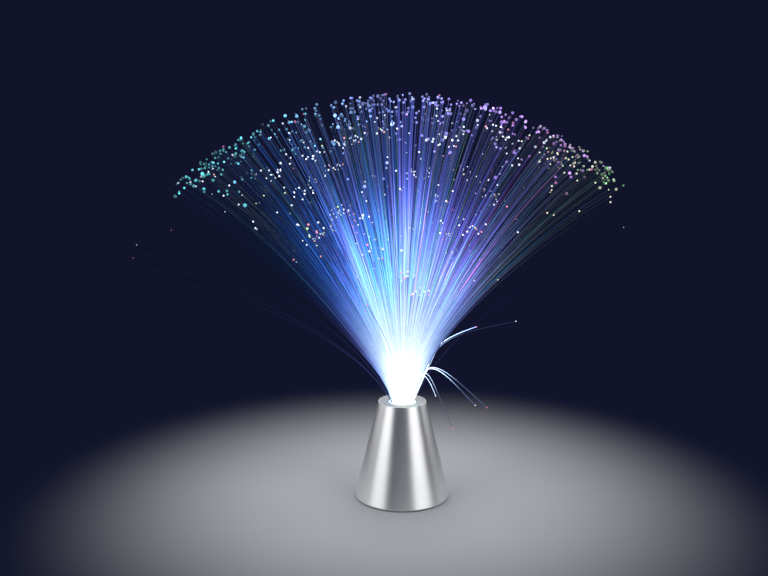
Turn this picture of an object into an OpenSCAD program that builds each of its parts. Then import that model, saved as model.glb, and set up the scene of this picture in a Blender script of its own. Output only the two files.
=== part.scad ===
// Fibre optic lamp, in millimetres. The origin is the centre of the footprint on the table,
// +Z is up and the front is -Y.

/* [Cone shell] */
// Outer diameter of the shell at its foot
foot_d = 80; // [80:1:96]
// Outer diameter of the shell at its top
top_d = 40.4; // [39:0.2:46]
// Height of the shell
shell_h = 79; // [76:1:100]
// Thickness of the spun sheet
shell_wall = 1.2; // [0.8:0.1:1.5]
// Chamfer on the shell's foot edge
foot_chamfer = 0.6; // [0:0.1:0.8]

/* [Collar] */
// Height of the flat ring above the shell
collar_h = 2; // [1.4:0.2:4]
// Bevel on the ring's outer edge
collar_bevel = 0.6; // [0.2:0.1:1]
// Diameter of the recess that takes the ferrule's lip
recess_d = 24; // [23.6:0.2:26]
// Outer diameter of the collar's stem
stem_d = 29; // [28:0.5:31]
// Length of the stem below the ring
stem_len = 14; // [12:1:18]
// Thickness of the lock ring
lock_ring_h = 3; // [2:0.5:4]
// Width of the two spanner slots in the lock ring
spanner_slot = 2; // [1:0.5:3]

/* [Ferrule] */
// Outer diameter of the ferrule's sleeve
ferrule_d = 22; // [21.4:0.2:22.4]
// Thickness of the sleeve
ferrule_wall = 1.2; // [1:0.1:1.4]
// Diameter of the ferrule's lip
lip_d = 23; // [22.8:0.1:23.4]
// Height of the lip
lip_h = 1.5; // [1:0.1:1.8]
// Length of the sleeve below the lip
sleeve_len = 12.5; // [10:0.5:13]

/* [Fibres] */
// Fibres in the fan, besides the strays
fibre_count = 315; // [300:1:340]
// Length of the longest fibre above the collar
fibre_len = 251; // [200:1:300]
// Width of a fibre across its corners
fibre_d = 0.66; // [0.5:0.02:0.7]
// Diameter of the circle that the fan's outermost fibres start on
bundle_d = 17.4; // [16.8:0.1:17.6]
// Lean of the outermost fibres, in degrees
fan_lean = 47; // [30:1:52]
// Extra lean on the +X side, taken off on the -X side, in degrees
fan_skew = 0.5; // [0:0.5:4]
// Fibres in a lock, which lean the same way
lock_size = 5; // [3:1:8]
// Share of the way that a fibre is drawn to the middle of its lock
lock_pull = 0.5; // [0.3:0.05:0.5]
// Length of the shortest fibre, as a share of the longest
short_share = 0.5; // [0.3:0.05:0.9]
// Thickness of the potted slice that holds the fibres' lower ends
slice_h = 3; // [2:0.5:5]

/* [Light] */
// Wall of the light cup round the stem
cup_wall = 1.5; // [1:0.1:2]
// Height of the chamber between the board and the stem
chamber_h = 8.4; // [8:0.2:12]
// Diameter of the chamber
chamber_d = 25; // [22:0.5:26]
// Thickness of the cup's flange
cup_flange_h = 2; // [1.6:0.2:3]
// Thickness of the circuit board
board_h = 1.6; // [1:0.2:2]
// Distance of each LED from the axis
led_pitch_r = 4.2; // [3.8:0.1:5]
// Diameter of an LED's lens
led_d = 5; // [4.6:0.1:5.2]
// Height of an LED above the board
led_h = 8.4; // [7:0.1:8.6]

/* [Column] */
// Outer diameter of the column's tube
column_d = 30; // [28:1:34]
// Wall of the column's tube
column_wall = 2; // [1.5:0.1:2.4]
// Diameter of the column's foot flange
column_foot_d = 40; // [38:1:42]
// Thickness of the foot flange
column_foot_h = 2.5; // [2:0.5:4]
// Thickness of the deck under the board
deck_h = 2; // [1.6:0.2:3]
// Width of the wire windows
window_w = 9; // [7:0.5:10]
// Height of the wire windows
window_h = 8; // [7:0.5:10]

/* [Base] */
// Height of the feet below the shell
foot_h = 1; // [1:0.1:2]
// Diameter of a foot
pad_d = 8; // [6:0.5:8]
// Distance of the feet from the axis
pad_r = 34; // [33:0.5:34]
// Thickness of the base plate and of the door
plate_h = 2; // [1.8:0.1:2.4]
// Height of the rim that seats in the shell's foot
rim_h = 7; // [5:0.5:9]
// Thickness of the rim and of the battery bay's walls
bay_wall = 1.5; // [1.2:0.1:1.6]

/* [Batteries] */
// Diameter of a cell
cell_d = 14.5; // [13.5:0.1:14.5]
// Length of a cell with its button
cell_len = 50.5; // [48:0.1:50.5]
// Room between two cells
cell_gap = 0.5; // [0.4:0.1:0.8]
// Room at each end of a cell for its contact
contact_room = 2.15; // [2.15:0.05:2.3]
// Thickness of the contact strip
strip_h = 0.4; // [0.3:0.1:0.5]
// Wire of a contact spring
spring_wire = 0.6; // [0.4:0.1:0.6]

/* [Switch] */
// Length of the switch's body
switch_len = 13; // [12:0.5:14]
// Width of the switch's body
switch_w = 6; // [5.5:0.5:6.5]
// Height of the switch's body
switch_h = 5.5; // [5:0.5:7]
// Travel of the slider
switch_travel = 3; // [2:0.5:3.5]
// Size of the square slider
slider_w = 3.8; // [3:0.2:4.2]

/* [Screws and wires] */
// Shank of the small screws
small_screw_d = 2; // [1.6:0.2:2.2]
// Shank of the column and door screws
screw_d = 2.4; // [2:0.2:2.6]
// Outer diameter of a lead
wire_d = 1.3; // [1:0.1:1.4]

/* [Clearances] */
// Radial clearance of the ferrule in the collar
ferrule_fit = 0.05; // [0.02:0.01:0.1]
// Radial clearance of fixed pieces that go into each other
slip = 0.1; // [0.05:0.05:0.2]
// Gap round the door
door_gap = 0.3; // [0.2:0.1:0.4]
// Gap round the slider, and over each cell and contact
loose = 0.3; // [0.2:0.1:0.4]

/* [Hidden] */

$fn = 96;

// Heights, from the table up
z_foot = foot_h;
z_plate = z_foot + plate_h;
z_cell = z_plate + loose + cell_d / 2;
z_ceiling = z_cell + cell_d / 2 + 0.5;
z_roof = z_ceiling + bay_wall;
z_shell = z_foot + shell_h;
z_top = z_shell + collar_h;

// Heights, from the shell's top down
z_lip = z_shell - shell_wall;
z_stem = z_shell - stem_len;
z_board_top = z_stem - chamber_h;
z_board = z_board_top - board_h;
z_deck = z_board - deck_h;
z_sleeve = z_shell - sleeve_len;

// The shell's cone
shell_slope = (foot_d - top_d) / 2 / shell_h;
wall_run = shell_wall * sqrt(1 + shell_slope * shell_slope);
function shell_out(z) = foot_d / 2 - (z - z_foot) * shell_slope;
function shell_in(z) = shell_out(z) - wall_run;

// Collar, cup and board
stem_bore_r = ferrule_d / 2 + ferrule_fit;
cup_r = stem_d / 2 + slip + cup_wall;
small_head_r = small_screw_d * 0.95;
small_head_h = small_screw_d * 0.75;
screw_circle_r = cup_r + small_head_r + 0.8;
deck_r = screw_circle_r + small_head_r + 0.8;
cup_grip = stem_len - shell_wall - lock_ring_h - 2;
deck_hole_r = column_d / 2 - column_wall - 1;
led_angles = [90, 210, 330];
part_r = deck_hole_r - 3;
lead_pitch = 1.27;
lead_r = 0.25;
lead_out = 1.5;

// Battery bay
cell_pitch = cell_d + cell_gap;
bay_x = 1.5 * cell_pitch + loose / 2;
bay_y = cell_len / 2 + contact_room;
bay_clear = 0.5;
ledge = 0.8;
door_x = bay_x + ledge;
door_y = bay_y + ledge;
door_corner = 2;
ear_r = 4;
ear_y = door_y + 3.8;
strip_w = 8;
strip_top = z_cell + 2.9;
strip_low = z_cell - 4;
tab_w = 3;
tab_top = z_roof + 3.2;
tab_x = cell_pitch - (strip_w - tab_w) / 2;
tab_y = bay_y - strip_h / 2;
bump_r = 3;
nub_r = 2.75;
nub_h = 1;

// Screws
head_r = screw_d * 0.85;
head_h = 1.2;
column_screw_x = cell_pitch / 2;
column_screw_y = 15;
door_screw_len = 5;

// Switch, beside the bay on the +X side
switch_x = bay_x + bay_wall + 6.2;
slot_y = (slider_w + switch_travel) / 2 + loose + 0.5;
ear_len = 4.6;
ear_h = 1;
pin_pitch = 2.5;
pin_h = 2.5;
slider_low = z_foot + 0.2;
z_switch_top = z_plate + switch_h;
z_pin = z_switch_top + pin_h;

pad_angles = [28, 152, 208, 332];

// Wires end face to face on the tabs, the pins and the board, and run clear of the column's flange
z_window = z_roof + column_foot_h + 3.6;
z_halfway = (z_window + z_board) / 2 + 2;
wire_r = column_foot_d / 2 + 4.5;
straight = 2;

// ---------------------------------------------------------------- helpers

function unit(v) = v / norm(v);
function last(p) = len(p) - 1;
function tangent(p, i) = unit(p[min(i + 1, last(p))] - p[max(i - 1, 0)]);
function flatten_to(v, t) = unit(v - (v * t) * t);

// One sideways direction for each point of a path, carried along it without twist
function sideways(p, start) = [
    for (i = 0, u = flatten_to(start, tangent(p, 0));
        i < len(p);
        i = i + 1, u = i < len(p) ? flatten_to(u, tangent(p, i)) : u) u
];

function ring(centre, t, u, r, sides) = [
    for (k = [0 : sides - 1])
        centre + r * (cos(360 * k / sides) * u + sin(360 * k / sides) * cross(t, u))
];

function ring_faces(rings, sides) = [
    for (i = [0 : rings - 2], k = [0 : sides - 1], half = [0, 1])
        let (a = i * sides + k, b = i * sides + (k + 1) % sides)
            half == 0 ? [a, a + sides, b + sides] : [a, b + sides, b]
];

// A closed tube of flat sides along a path
module swept(path, r, sides, start = [0, 0, 1]) {
    u = sideways(path, start);
    points = [for (i = [0 : last(path)]) each ring(path[i], tangent(path, i), u[i], r, sides)];
    end = last(path) * sides;
    near_cap = [for (k = [0 : sides - 1]) k];
    far_cap = [for (k = [sides - 1 : -1 : 0]) end + k];
    polyhedron(points, concat(ring_faces(len(path), sides), [near_cap, far_cap]));
}

// A smooth curve through hand-picked points. Its first and last stretches stay straight
function curve_point(a, b, c, d, t) =
    b + t * (c - a) / 2
    + t * t * (2 * a - 5 * b + 4 * c - d) / 2
    + t * t * t * (3 * b - a - 3 * c + d) / 2;
function smooth(p, steps = 3) = [
    p[0],
    for (i = [1 : last(p) - 2], s = [0 : steps - 1])
        curve_point(p[i - 1], p[i], p[i + 1], p[i + 2], s / steps),
    p[last(p) - 1],
    p[last(p)]
];

module ring_of(angles, r) {
    for (a = angles) rotate([0, 0, a]) translate([r, 0, 0]) children();
}

module pair_y(y) {
    for (side = [-1, 1]) translate([0, side * y, 0]) children();
}

// The space inside the shell, kept a gap away from its wall
module inside_shell(gap, low, high) {
    translate([0, 0, low])
        cylinder(h = high - low, r1 = shell_in(low) - gap, r2 = shell_in(high) - gap);
}

module screw(head_radius, head_height, shank_radius, length) {
    translate([0, 0, -head_height]) cylinder(h = head_height, r = head_radius);
    cylinder(h = length, r = shank_radius);
}

// ---------------------------------------------------------------- shell and collar

module cone_shell() {
    opening_r = stem_d / 2 + slip;
    outline = [
        [foot_d / 2 - foot_chamfer, z_foot],
        [shell_out(z_foot + foot_chamfer), z_foot + foot_chamfer],
        [top_d / 2, z_shell],
        [opening_r, z_shell],
        [opening_r, z_lip],
        [shell_in(z_lip), z_lip],
        [shell_in(z_foot), z_foot]
    ];
    color("silver") rotate_extrude() polygon(outline);
}

module collar_bush() {
    edge = 0.4;
    outline = [
        [stem_bore_r, z_stem],
        [stem_d / 2, z_stem],
        [stem_d / 2, z_shell],
        [top_d / 2, z_shell],
        [top_d / 2, z_top - collar_bevel],
        [top_d / 2 - collar_bevel, z_top],
        [recess_d / 2 + edge, z_top],
        [recess_d / 2, z_top - edge],
        [recess_d / 2, z_shell],
        [stem_bore_r, z_shell]
    ];
    color("darkgray") rotate_extrude() polygon(outline);
}

module lock_ring() {
    // Room between the ring and the shell, below the lip
    ring_room = 1.2;
    ring_r = shell_in(z_lip) - ring_room;
    z_ring = z_lip - lock_ring_h;
    color("gainsboro") difference() {
        translate([0, 0, z_ring]) difference() {
            cylinder(h = lock_ring_h, r = ring_r);
            translate([0, 0, -1]) cylinder(h = lock_ring_h + 2, r = stem_d / 2 + slip / 2);
        }
        for (side = [0, 180]) rotate([0, 0, side])
            translate([stem_d / 2 + 1.4, -spanner_slot / 2, z_ring - 1])
                cube([ring_r, spanner_slot, 2.2]);
    }
}

// ---------------------------------------------------------------- fibre wand

module ferrule() {
    outline = [
        [ferrule_d / 2 - ferrule_wall, z_sleeve],
        [ferrule_d / 2 - 0.4, z_sleeve],
        [ferrule_d / 2, z_sleeve + 0.4],
        [ferrule_d / 2, z_shell],
        [lip_d / 2, z_shell],
        [lip_d / 2, z_shell + lip_h - 0.3],
        [lip_d / 2 - 0.3, z_shell + lip_h],
        [ferrule_d / 2 - ferrule_wall + 0.3, z_shell + lip_h],
        [ferrule_d / 2 - ferrule_wall, z_shell + lip_h - 0.3]
    ];
    color("lavender", 0.6) rotate_extrude() polygon(outline);
}

// Lean of a fibre after a share t of the longest fibre, as a share of its full lean: it turns
// most just above the collar, later on the +X side, and its own weight bends its far end a little more
function lean(t, azimuth) =
    0.38 + 0.5 * (1 - exp(-pow(t / (0.15 + 0.06 * cos(azimuth)), 1.5))) + 0.4 * t * t;

// Distance from its root and height of a full-length fibre's points, in 30 equal steps
path_steps = 30;
function fibre_curve(most, azimuth) = [
    for (i = 0, r = 0, z = z_top;
        i <= path_steps;
        r = r + fibre_len / path_steps * sin(most * lean((i + 0.5) / path_steps, azimuth)),
        z = z + fibre_len / path_steps * cos(most * lean((i + 0.5) / path_steps, azimuth)),
        i = i + 1) [r, z]
];
// The kept points of a curve that is cut at a share of its length
function cut_curve(curve, kept, share) =
    let (end = share * path_steps, k = min(floor(end), path_steps - 1))
    [for (i = kept) if (i < end - 1.5) curve[i], curve[k] + (end - k) * (curve[k + 1] - curve[k])];

// Strays follow the fan's edge and then bend over: [azimuth, first lean, last lean] in degrees
// and [length, straight part, length of the bend] as shares of the longest fibre
strays = [
    [-15, 23, 76, 0.478, 0.183, 0.064],
    [-9, 21, 72, 0.35, 0.175, 0.06],
    [-28, 23, 131, 0.335, 0.12, 0.032],
    [-20, 21, 129, 0.367, 0.116, 0.034],
    [-42, 22, 152, 0.2, 0.104, 0.02],
    [-35, 21, 152, 0.327, 0.112, 0.016],
    [22, 24, 146, 0.263, 0.12, 0.036],
    [182, 33, 70, 0.972, 0.04, 0.24],
    [196, 32, 64, 0.98, 0.04, 0.24],
    [168, 30, 64, 0.948, 0.04, 0.24],
    [118, 38, 74, 0.817, 0.04, 0.24],
    [262, 34, 66, 0.857, 0.04, 0.24],
    [8, 30, 64, 0.916, 0.08, 0.28]
];
// A stray's points above the collar, with shorter steps in its bend than at its tip
stray_steps = 8;
function bent(s, i) = fibre_len * (s[3] - s[4]) * pow(i / stray_steps, 2);
function stray_lean(s, i) =
    s[2] - (s[2] - s[1]) * exp(-(bent(s, i) + bent(s, i + 1)) / 2 / (fibre_len * s[5]));
function stray_curve(start_r, s) = [
    for (i = 0, r = start_r + fibre_len * s[4] * sin(s[1]), z = z_top + fibre_len * s[4] * cos(s[1]);
        i <= stray_steps;
        r = r + (bent(s, i + 1) - bent(s, i)) * sin(stray_lean(s, i)),
        z = z + (bent(s, i + 1) - bent(s, i)) * cos(stray_lean(s, i)),
        i = i + 1) [r, z]
];

// Points spread evenly over a disc of radius 1, and shares spread evenly from 0 to 1
golden = 180 * (3 - sqrt(5));
function disc_point(i, count) = sqrt((i + 0.5) / count) * [cos(i * golden), sin(i * golden)];
function scatter(i, step) = (i + 1) * step - floor((i + 1) * step);

lock_count = round(fibre_count / lock_size);
lock_middles = [for (j = [0 : lock_count - 1]) disc_point(j, lock_count)];
function nearest_lock(p, j = 0, best = 0) =
    j == lock_count ? best
    : nearest_lock(p, j + 1, norm(p - lock_middles[j]) < norm(p - lock_middles[best]) ? j : best);

// Just over half of the locks end on the dome and the others below it, each with its fibres nearly
// level; a sixth of the fibres are cut by themselves
function lock_cut(lock) =
    scatter(lock, 0.754877666) < 0.52
    ? 1 - 0.05 * scatter(lock, 0.569840296)
    : short_share + (0.93 - short_share) * scatter(lock, 0.569840296);
function fibre_cut(i, lock) =
    scatter(i, 0.671043607) < 0.16
    ? short_share + (1 - short_share) * scatter(i, 0.549700478)
    : min(1, lock_cut(lock) + 0.03 * (scatter(i, 0.819172513) - 0.5));

module fibre_spray() {
    z_root = z_sleeve + slice_h;
    stray_r = ferrule_d / 2 - ferrule_wall - fibre_d / 2 - slip;
    // The more a fibre leans, the more steps its curve keeps
    picks = [[0, 5, 14], [0, 3, 9, 18], [0, 3, 9, 18]];
    // A one-size resize keeps every size: it takes the fibres and their slice as one mesh
    color("azure", 0.8) resize([0, 0, 0]) union() {
        translate([0, 0, z_sleeve])
            cylinder(h = slice_h, r = ferrule_d / 2 - ferrule_wall - slip / 2, $fn = 40);
        for (i = [0 : fibre_count - 1]) {
            spot = disc_point(i, fibre_count);
            lock = nearest_lock(spot);
            toward = (1 - lock_pull) * spot + lock_pull * lock_middles[lock];
            azimuth = atan2(toward[1], toward[0]);
            side = [cos(azimuth), sin(azimuth), 0];
            root = bundle_d / 2 * [spot[0], spot[1], 0];
            curve = fibre_curve(norm(toward) * (fan_lean + fan_skew * cos(azimuth)), azimuth);
            path = concat(
                [[0, z_root]],
                cut_curve(curve, picks[floor(3 * i / fibre_count)], fibre_cut(i, lock))
            );
            swept(
                [for (p = path) root + p[0] * side + [0, 0, p[1]]],
                fibre_d / 2, 3, [-side[1], side[0], 0]
            );
        }
        for (s = strays) {
            side = [cos(s[0]), sin(s[0]), 0];
            path = concat([[stray_r, z_root], [stray_r, z_top]], stray_curve(stray_r, s));
            swept([for (p = path) p[0] * side + [0, 0, p[1]]], fibre_d / 2, 3, [-side[1], side[0], 0]);
        }
    }
}

// ---------------------------------------------------------------- light source

module light_cup() {
    outline = [
        [chamber_d / 2, z_board_top],
        [deck_r, z_board_top],
        [deck_r, z_board_top + cup_flange_h],
        [cup_r, z_board_top + cup_flange_h],
        [cup_r, z_stem + cup_grip],
        [stem_d / 2 + slip / 2, z_stem + cup_grip],
        [stem_d / 2 + slip / 2, z_stem],
        [chamber_d / 2, z_stem]
    ];
    color("white") difference() {
        rotate_extrude() polygon(outline);
        ring_of(led_angles, screw_circle_r)
            translate([0, 0, z_board_top - 1])
                cylinder(h = cup_flange_h + 2, r = small_screw_d / 2 + slip);
    }
}

module led_board() {
    color("darkgreen") difference() {
        translate([0, 0, z_board]) cylinder(h = board_h, r = deck_r);
        ring_of(led_angles, screw_circle_r)
            translate([0, 0, z_board - 1]) cylinder(h = board_h + 2, r = small_screw_d / 2 + slip);
        ring_of(led_angles, led_pitch_r)
            pair_y(lead_pitch)
                translate([0, 0, z_board - 1]) cylinder(h = board_h + 2, r = lead_r + 0.05, $fn = 24);
    }
}

// A domed LED with its rim, and two leads that go through the board
module led(angle) {
    rim_h = 1;
    lens_r = led_d / 2;
    rotate([0, 0, angle]) translate([led_pitch_r, 0, z_board_top]) {
        cylinder(h = rim_h, r = lens_r + 0.4);
        translate([0, 0, rim_h]) cylinder(h = led_h - rim_h - lens_r, r = lens_r);
        translate([0, 0, led_h - lens_r]) intersection() {
            sphere(r = lens_r);
            translate([0, 0, -0.01]) cylinder(h = lens_r + 1, r = lens_r + 1);
        }
        pair_y(lead_pitch)
            translate([0, 0, -board_h - lead_out])
                cylinder(h = board_h + lead_out + 0.5, r = lead_r, $fn = 24);
    }
}

module led_red() {
    color("tomato") led(led_angles[0]);
}

module led_green() {
    color("limegreen") led(led_angles[1]);
}

module led_blue() {
    color("dodgerblue") led(led_angles[2]);
}

module resistors() {
    size = [1.6, 3.2, 0.6];
    color("black") ring_of(led_angles, part_r)
        translate([-size[0] / 2, -size[1] / 2, z_board - size[2]]) cube(size);
}

module controller_chip() {
    body = [4.9, 3.9, 1.4];
    leg = [0.5, 1, 0.5];
    color("dimgray") translate([0, -part_r + 1, z_board]) {
        translate([-body[0] / 2, -body[1] / 2, -body[2] - 0.1]) cube(body);
        for (i = [-1.5 : 1.5], side = [-1, 1])
            translate([i * 1.27 - leg[0] / 2, side * body[1] / 2 - leg[1] / 2, -leg[2]]) cube(leg);
    }
}

module cup_screws() {
    length = cup_flange_h + board_h + deck_h + 0.4;
    color("gold") ring_of(led_angles, screw_circle_r)
        translate([0, 0, z_board_top + cup_flange_h]) mirror([0, 0, 1])
            screw(small_head_r, small_head_h, small_screw_d / 2, length);
}

// ---------------------------------------------------------------- column

module chassis_column() {
    tube_r = column_d / 2;
    reach = tube_r + 1;
    color("whitesmoke") difference() {
        union() {
            translate([0, 0, z_roof]) cylinder(h = column_foot_h, r = column_foot_d / 2);
            translate([0, 0, z_roof]) cylinder(h = z_deck - z_roof, r = tube_r);
            translate([0, 0, z_deck]) cylinder(h = deck_h, r = deck_r);
        }
        translate([0, 0, z_roof - 1]) cylinder(h = z_deck - z_roof + 1, r = tube_r - column_wall);
        translate([0, 0, z_deck - 1]) cylinder(h = deck_h + 2, r = deck_hole_r);
        for (turn = [0, 90]) rotate([0, 0, turn])
            translate([-reach, -window_w / 2, z_window]) cube([2 * reach, window_w, window_h]);
        ring_of(led_angles, screw_circle_r)
            translate([0, 0, z_deck - 1]) cylinder(h = deck_h + 2, r = small_screw_d / 2 + slip / 2);
        column_screw_places()
            translate([0, 0, z_roof - 1]) cylinder(h = column_foot_h + 2, r = screw_d / 2 + slip / 2);
    }
}

module column_screw_places() {
    for (x = [-1, 1], y = [-1, 1])
        translate([x * column_screw_x, y * column_screw_y, 0]) children();
}

module column_screws() {
    color("gold") column_screw_places() translate([0, 0, z_ceiling])
        screw(head_r, head_h, screw_d / 2, bay_wall + column_foot_h - 0.2);
}

// ---------------------------------------------------------------- base

module door_outline(grow) {
    offset_x = door_x + grow;
    offset_y = door_y + grow;
    translate([-offset_x, -offset_y + door_corner]) square([2 * offset_x, 2 * (offset_y - door_corner)]);
    translate([-offset_x + door_corner, -offset_y]) square([2 * (offset_x - door_corner), 2 * offset_y]);
    for (x = [-1, 1], y = [-1, 1])
        translate([x * (offset_x - door_corner), y * (offset_y - door_corner)]) circle(r = door_corner);
    for (side = [-1, 1]) {
        translate([0, side * ear_y]) circle(r = ear_r + grow);
        translate([-ear_r - grow, side > 0 ? 0 : -ear_y]) square([2 * (ear_r + grow), ear_y]);
    }
}

// The strip end that carries a lead goes up through the bay's roof
module tab_slot(side) {
    translate([side * tab_x - tab_w / 2 - slip, side * tab_y - strip_h / 2 - slip, z_ceiling - 1])
        cube([tab_w + 2 * slip, strip_h + 2 * slip, bay_wall + 2]);
}

module base_plate() {
    boss_top = z_plate + door_screw_len + 1;
    rim_top = z_foot + rim_h;
    finger = 1;
    color("dimgray") difference() {
        union() {
            inside_shell(slip, z_foot, z_plate);
            difference() {
                inside_shell(slip, z_foot, rim_top);
                translate([0, 0, z_plate])
                    cylinder(
                        h = rim_top - z_plate + 1,
                        r1 = shell_in(z_plate) - slip - bay_wall,
                        r2 = shell_in(rim_top + 1) - slip - bay_wall
                    );
            }
            intersection() {
                inside_shell(bay_clear, z_foot, z_roof);
                translate([-bay_x - bay_wall, -bay_y - bay_wall, z_foot])
                    cube([2 * (bay_x + bay_wall), 2 * (bay_y + bay_wall), z_roof - z_foot]);
            }
            intersection() {
                inside_shell(bay_clear, z_foot, boss_top);
                pair_y(ear_y) translate([0, 0, z_foot])
                    cylinder(h = boss_top - z_foot, r = ear_r + door_gap + 0.4);
            }
        }
        intersection() {
            inside_shell(bay_clear + bay_wall, z_foot - 1, z_ceiling);
            translate([-bay_x, -bay_y, z_foot - 1])
                cube([2 * bay_x, 2 * bay_y, z_ceiling - z_foot + 1]);
        }
        translate([0, 0, z_foot - 1]) linear_extrude(height = plate_h + 1) door_outline(door_gap);
        pair_y(ear_y) translate([0, 0, z_foot])
            cylinder(h = door_screw_len + plate_h + 0.5, r = screw_d / 2 + slip / 2);
        column_screw_places()
            translate([0, 0, z_ceiling - 1]) cylinder(h = bay_wall + 2, r = screw_d / 2 + slip / 2);
        tab_slot(-1);
        tab_slot(1);
        translate([switch_x - slider_w / 2 - loose, -slot_y, z_foot - 1])
            cube([slider_w + 2 * loose, 2 * slot_y, plate_h + 2]);
        translate([switch_x - slider_w / 2 - loose - finger, -slot_y - finger, z_foot - 1])
            cube([slider_w + 2 * loose + 2 * finger, 2 * (slot_y + finger), 1 + plate_h / 2]);
        switch_screw_places()
            translate([0, 0, z_plate - plate_h * 0.6])
                cylinder(h = plate_h, r = small_screw_d / 2 + slip / 2);
    }
}

module foot(index) {
    edge = 0.3;
    angle = pad_angles[index - 1];
    color("black") translate([pad_r * cos(angle), pad_r * sin(angle), 0]) {
        cylinder(h = edge, r1 = pad_d / 2 - edge, r2 = pad_d / 2);
        translate([0, 0, edge]) cylinder(h = foot_h - edge, r = pad_d / 2);
    }
}

module foot_1() {
    foot(1);
}

module foot_2() {
    foot(2);
}

module foot_3() {
    foot(3);
}

module foot_4() {
    foot(4);
}

// ---------------------------------------------------------------- battery bay

// The cell's button points to -Y when the way is -1, and to +Y when it is 1
module cell(column, way) {
    shrink = 0.35;
    body_len = cell_len - nub_h;
    translate([column * cell_pitch, 0, z_cell]) rotate([-90 * way, 0, 0]) {
        translate([0, 0, -cell_len / 2]) cylinder(h = 0.8, r = cell_d / 2 - shrink);
        translate([0, 0, -cell_len / 2 + 0.8]) cylinder(h = body_len - 1.6, r = cell_d / 2);
        translate([0, 0, cell_len / 2 - nub_h - 0.8]) cylinder(h = 0.8, r = cell_d / 2 - shrink);
        translate([0, 0, cell_len / 2 - nub_h]) cylinder(h = nub_h, r = nub_r);
    }
}

module battery_left() {
    color("goldenrod") cell(-1, -1);
}

module battery_centre() {
    color("goldenrod") cell(0, 1);
}

module battery_right() {
    color("goldenrod") cell(1, -1);
}

// A strip on the bay's end wall, from one cell's column to another's
module strip(from, to, side) {
    translate([
        from * cell_pitch - strip_w / 2,
        side * tab_y - strip_h / 2,
        strip_low
    ])
        cube([(to - from) * cell_pitch + strip_w, strip_h, strip_top - strip_low]);
}

// The strip end that carries a lead: on the left at the front, and on the right at the back
module tab(side) {
    translate([side * tab_x - tab_w / 2, side * tab_y - strip_h / 2, strip_low])
        cube([tab_w, strip_h, tab_top - strip_low]);
}

// The pressed bump that meets a cell's button
module bump(column, side) {
    translate([column * cell_pitch, side * (bay_y - strip_h), z_cell])
        rotate([90 * side, 0, 0])
            cylinder(h = contact_room - strip_h - loose, r1 = bump_r, r2 = bump_r - 1);
}

// A conical spring of two turns, pressed flat by the cell
module contact_spring(column, side) {
    turns = 2;
    per_turn = 10;
    wide = 4.3;
    narrow = 2.2;
    height = contact_room - strip_h - loose - spring_wire;
    path = [
        for (i = [0 : turns * per_turn])
            let (t = i / (turns * per_turn), r = wide + (narrow - wide) * t, a = 360 * i / per_turn)
                [r * cos(a), r * sin(a), spring_wire * 0.35 + height * t]
    ];
    translate([column * cell_pitch, side * (bay_y - strip_h), z_cell])
        rotate([90 * side, 0, 0]) swept(path, spring_wire / 2, 6);
}

module contact_positive() {
    color("silver") {
        strip(-1, -1, -1);
        tab(-1);
        bump(-1, -1);
    }
}

module contact_link_front() {
    color("silver") {
        strip(0, 1, -1);
        bump(1, -1);
        contact_spring(0, -1);
    }
}

module contact_link_back() {
    color("silver") {
        strip(-1, 0, 1);
        bump(0, 1);
        contact_spring(-1, 1);
    }
}

module contact_negative() {
    color("silver") {
        strip(1, 1, 1);
        tab(1);
        contact_spring(1, 1);
    }
}

module battery_door() {
    grip_w = 16;
    color("dimgray") difference() {
        translate([0, 0, z_foot]) linear_extrude(height = plate_h) door_outline(0);
        pair_y(ear_y) {
            translate([0, 0, z_foot - 1]) cylinder(h = plate_h + 2, r = screw_d / 2 + slip);
            translate([0, 0, z_foot - 1]) cylinder(h = 1 + head_h, r = head_r + slip);
        }
        for (i = [-2 : 2])
            translate([-grip_w / 2, i * 2.4 - 0.5, z_foot - 1]) cube([grip_w, 1, 1.5]);
    }
}

module door_screws() {
    color("silver") pair_y(ear_y) translate([0, 0, z_foot + head_h])
        screw(head_r, head_h - 0.1, screw_d / 2, door_screw_len + plate_h - head_h);
}

// ---------------------------------------------------------------- switch

module switch_screw_places() {
    pair_y(switch_len / 2 + ear_len / 2) translate([switch_x, 0, 0]) children();
}

module switch_body() {
    color("lightslategray") difference() {
        union() {
            translate([switch_x - switch_w / 2, -switch_len / 2, z_plate])
                cube([switch_w, switch_len, switch_h]);
            translate([switch_x - switch_w / 2, -switch_len / 2 - ear_len, z_plate])
                cube([switch_w, switch_len + 2 * ear_len, ear_h]);
            for (i = [-1 : 1])
                translate([switch_x - 0.25, i * pin_pitch - 0.5, z_switch_top - 0.5])
                    cube([0.5, 1, pin_h + 0.5]);
        }
        translate([switch_x - slider_w / 2 - loose, -slot_y, z_plate - 1])
            cube([slider_w + 2 * loose, 2 * slot_y, 1 + switch_h / 2]);
        switch_screw_places()
            translate([0, 0, z_plate - 1]) cylinder(h = ear_h + 2, r = small_screw_d / 2 + slip / 2);
    }
}

// At rest the slider stands at the +Y end of its slot, which is on
module switch_slider() {
    high = z_plate + switch_h / 2 - loose;
    color("black") translate([switch_x, switch_travel / 2, 0]) difference() {
        translate([-slider_w / 2, -slider_w / 2, slider_low])
            cube([slider_w, slider_w, high - slider_low]);
        for (i = [-1 : 1])
            translate([-slider_w, i * slider_w / 4 - 0.2, slider_low - 1])
                cube([2 * slider_w, 0.4, 1.3]);
    }
}

module switch_screws() {
    color("gold") switch_screw_places() translate([0, 0, z_plate + ear_h]) mirror([0, 0, 1])
        screw(small_head_r, small_head_h, small_screw_d / 2, ear_h + plate_h * 0.5);
}

// ---------------------------------------------------------------- wires

module lead(path) {
    swept(smooth(path), wire_d / 2, 8, [1, 0.3, 0.2]);
}

function round_axis(r, angle, z) = [r * cos(angle), r * sin(angle), z];

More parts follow.
